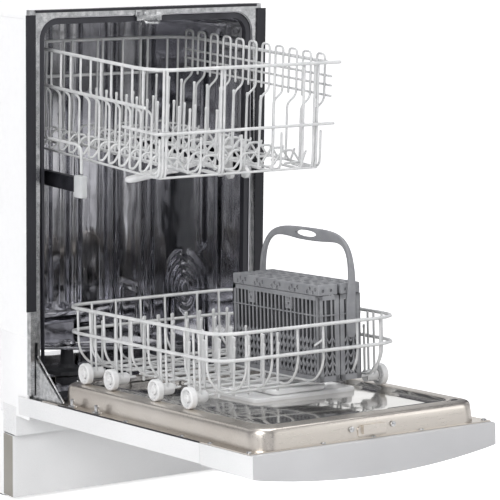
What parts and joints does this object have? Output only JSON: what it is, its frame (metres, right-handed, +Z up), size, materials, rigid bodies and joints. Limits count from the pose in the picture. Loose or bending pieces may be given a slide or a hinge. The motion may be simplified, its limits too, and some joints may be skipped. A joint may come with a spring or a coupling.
{
  "type": "built in dishwasher",
  "caption": "Open built-in dishwasher: steel tub, drop-down door with dispenser, pull-out wire baskets, spray arms, cutlery basket and kick panels.",
  "frame": {"origin": "on the floor under the middle of the footprint, with the door open", "axes": "+Z up, the front faces -Y, +X to the right seen from the front"},
  "size_m": [0.464, 1.239, 0.834],
  "materials": {
    "stainless": "bright annealed stainless sheet",
    "galvanised": "galvanised steel sheet",
    "enamel": "gloss white enamelled steel",
    "console_plastic": "moulded white ABS",
    "nylon": "moulded white nylon",
    "coated_wire": "steel wire in a white nylon coat",
    "grey_plastic": "moulded grey polypropylene",
    "pale_plastic": "moulded light grey polypropylene",
    "rubber": "black rubber",
    "felt": "white needled felt",
    "ballast": "painted ballast block"
  },
  "bodies": {
    "cabinet": {"tub_wrapper": "stainless", "tub_back": "stainless", "tub_floor": "stainless", "front_frame": "galvanised", "edge_strip_left": "rubber", "edge_strip_right": "rubber", "side_pad_left": "felt", "side_pad_right": "felt", "door_gasket": "rubber", "door_striker": "galvanised", "base_frame": "galvanised", "levelling_foot_front_left": "rubber", "levelling_foot_back_left": "rubber", "levelling_foot_front_right": "rubber", "levelling_foot_back_right": "rubber", "toe_kick_panel": "enamel", "access_panel": "enamel", "circulation_pump": "grey_plastic", "counterweight": "ballast", "spray_hub": "pale_plastic", "rear_water_duct": "pale_plastic"},
    "door": {"door_outer_panel": "enamel", "control_console": "console_plastic", "door_liner": "stainless", "hinge_arm_left": "galvanised", "hinge_arm_right": "galvanised", "dispenser_body": "nylon"},
    "power_button": {"power_button": "pale_plastic"},
    "start_button": {"start_button": "pale_plastic"},
    "door_latch": {"door_latch": "galvanised"},
    "detergent_lid": {"detergent_lid": "nylon"},
    "rinse_aid_cap": {"rinse_aid_cap": "pale_plastic"},
    "filter": {"filter_cylinder": "grey_plastic"},
    "lower_arm": {"lower_spray_arm": "stainless"},
    "upper_rail_left": {"upper_rail_left": "galvanised"},
    "upper_rail_right": {"upper_rail_right": "galvanised"},
    "upper_basket": {"upper_basket_floor": "coated_wire", "upper_basket_left": "coated_wire", "upper_basket_right": "coated_wire", "upper_basket_front": "coated_wire", "upper_basket_back": "coated_wire", "upper_arm_feed": "pale_plastic"},
    "upper_arm": {"upper_spray_arm": "nylon"},
    "lower_basket": {"lower_basket_floor": "coated_wire", "lower_basket_left": "coated_wire", "lower_basket_right": "coated_wire", "lower_basket_front": "coated_wire", "lower_basket_back": "coated_wire"},
    "cutlery": {"cutlery_basket": "grey_plastic", "cutlery_handle": "grey_plastic", "cutlery_lid_right": "grey_plastic"},
    "cutlery_lid_left": {"cutlery_lid_left": "grey_plastic"},
    "lower_wheel_left_1": {"lower_wheel_left_1": "nylon"},
    "lower_wheel_left_2": {"lower_wheel_left_2": "nylon"},
    "lower_wheel_left_3": {"lower_wheel_left_3": "nylon"},
    "lower_wheel_left_4": {"lower_wheel_left_4": "nylon"},
    "lower_wheel_right_1": {"lower_wheel_right_1": "nylon"},
    "lower_wheel_right_2": {"lower_wheel_right_2": "nylon"},
    "lower_wheel_right_3": {"lower_wheel_right_3": "nylon"},
    "lower_wheel_right_4": {"lower_wheel_right_4": "nylon"}
  },
  "joints": [
    {"name": "door_hinge", "type": "hinge", "parent": "cabinet", "child": "door", "pos_m": [0, 0.07892, 0.20767], "axis": [-1, 0, 0], "range_deg": [-3.7, 5]},
    {"name": "lower_basket_slide", "type": "slide", "parent": "door", "child": "lower_basket", "axis": [0, -0.9979, 0.0645], "range_m": [-0.42, 0]},
    {"name": "cutlery_lift", "type": "slide", "parent": "lower_basket", "child": "cutlery", "axis": [0, 0.0645, 0.9979], "range_m": [0, 0.045]},
    {"name": "cutlery_lid_left_hinge", "type": "hinge", "parent": "cutlery", "child": "cutlery_lid_left", "pos_m": [0.025, -0.28898, 0.40712], "axis": [0, -0.9979, 0.0645], "range_deg": [0, 100]},
    {"name": "upper_basket_slide", "type": "slide", "parent": "cabinet", "child": "upper_basket", "axis": [0, -1, 0], "range_m": [-0.33, 0]},
    {"name": "upper_rail_left_slide", "type": "slide", "parent": "cabinet", "child": "upper_rail_left", "axis": [0, -1, 0], "range_m": [-0.12, 0]},
    {"name": "upper_rail_right_slide", "type": "slide", "parent": "cabinet", "child": "upper_rail_right", "axis": [0, -1, 0], "range_m": [-0.05, 0]},
    {"name": "upper_arm_spin", "type": "hinge", "parent": "upper_basket", "child": "upper_arm", "pos_m": [0, -0.00833, 0.57], "axis": [0, -0.0227, 0.9997], "continuous": true},
    {"name": "lower_arm_spin", "type": "hinge", "parent": "cabinet", "child": "lower_arm", "pos_m": [0, 0.33767, 0.209], "axis": [0, 0, 1], "continuous": true},
    {"name": "filter_turn", "type": "hinge", "parent": "cabinet", "child": "filter", "pos_m": [0, 0.23767, 0.15], "axis": [0, 0, 1], "range_deg": [0, 90]},
    {"name": "detergent_lid_slide", "type": "slide", "parent": "door", "child": "detergent_lid", "axis": [-1, 0, 0], "range_m": [0, 0.055]},
    {"name": "rinse_aid_cap_turn", "type": "hinge", "parent": "door", "child": "rinse_aid_cap", "pos_m": [0.112, -0.20211, 0.23185], "axis": [0, 0.0645, 0.9979], "range_deg": [0, 90]},
    {"name": "door_latch_press", "type": "slide", "parent": "door", "child": "door_latch", "axis": [0, 0.9979, -0.0645], "range_m": [0, 0.004], "stiffness_N_per_m": 800},
    {"name": "power_button_press", "type": "slide", "parent": "door", "child": "power_button", "axis": [0, 0.0645, 0.9979], "range_m": [0, 0.0015], "stiffness_N_per_m": 1500},
    {"name": "start_button_press", "type": "slide", "parent": "door", "child": "start_button", "axis": [0, 0.0645, 0.9979], "range_m": [0, 0.0015], "stiffness_N_per_m": 1500},
    {"name": "lower_wheel_left_1_roll", "type": "hinge", "parent": "lower_basket", "child": "lower_wheel_left_1", "pos_m": [-0.18, -0.05077, 0.24762], "axis": [1, 0, 0], "range_deg": [-1400, 5]},
    {"name": "lower_wheel_left_2_roll", "type": "hinge", "parent": "lower_basket", "child": "lower_wheel_left_2", "pos_m": [-0.18, -0.1336, 0.25298], "axis": [1, 0, 0], "range_deg": [-1400, 5]},
    {"name": "lower_wheel_left_3_roll", "type": "hinge", "parent": "lower_basket", "child": "lower_wheel_left_3", "pos_m": [-0.18, -0.27231, 0.26195], "axis": [1, 0, 0], "range_deg": [-1400, 5]},
    {"name": "lower_wheel_left_4_roll", "type": "hinge", "parent": "lower_basket", "child": "lower_wheel_left_4", "pos_m": [-0.18, -0.3711, 0.26834], "axis": [1, 0, 0], "range_deg": [-1400, 5]},
    {"name": "lower_wheel_right_1_roll", "type": "hinge", "parent": "lower_basket", "child": "lower_wheel_right_1", "pos_m": [0.18, -0.05077, 0.24762], "axis": [1, 0, 0], "range_deg": [-1400, 5]},
    {"name": "lower_wheel_right_2_roll", "type": "hinge", "parent": "lower_basket", "child": "lower_wheel_right_2", "pos_m": [0.18, -0.1336, 0.25298], "axis": [1, 0, 0], "range_deg": [-1400, 5]},
    {"name": "lower_wheel_right_3_roll", "type": "hinge", "parent": "lower_basket", "child": "lower_wheel_right_3", "pos_m": [0.18, -0.27231, 0.26195], "axis": [1, 0, 0], "range_deg": [-1400, 5]},
    {"name": "lower_wheel_right_4_roll", "type": "hinge", "parent": "lower_basket", "child": "lower_wheel_right_4", "pos_m": [0.18, -0.3711, 0.26834], "axis": [1, 0, 0], "range_deg": [-1400, 5]}
  ],
  "couplings": [
    {"joint": "lower_wheel_left_1_roll", "follows": "lower_basket_slide", "rad_per_m": 57.803},
    {"joint": "lower_wheel_left_2_roll", "follows": "lower_basket_slide", "rad_per_m": 57.803},
    {"joint": "lower_wheel_left_3_roll", "follows": "lower_basket_slide", "rad_per_m": 57.803},
    {"joint": "lower_wheel_left_4_roll", "follows": "lower_basket_slide", "rad_per_m": 57.803},
    {"joint": "lower_wheel_right_1_roll", "follows": "lower_basket_slide", "rad_per_m": 57.803},
    {"joint": "lower_wheel_right_2_roll", "follows": "lower_basket_slide", "rad_per_m": 57.803},
    {"joint": "lower_wheel_right_3_roll", "follows": "lower_basket_slide", "rad_per_m": 57.803},
    {"joint": "lower_wheel_right_4_roll", "follows": "lower_basket_slide", "rad_per_m": 57.803}
  ]
}
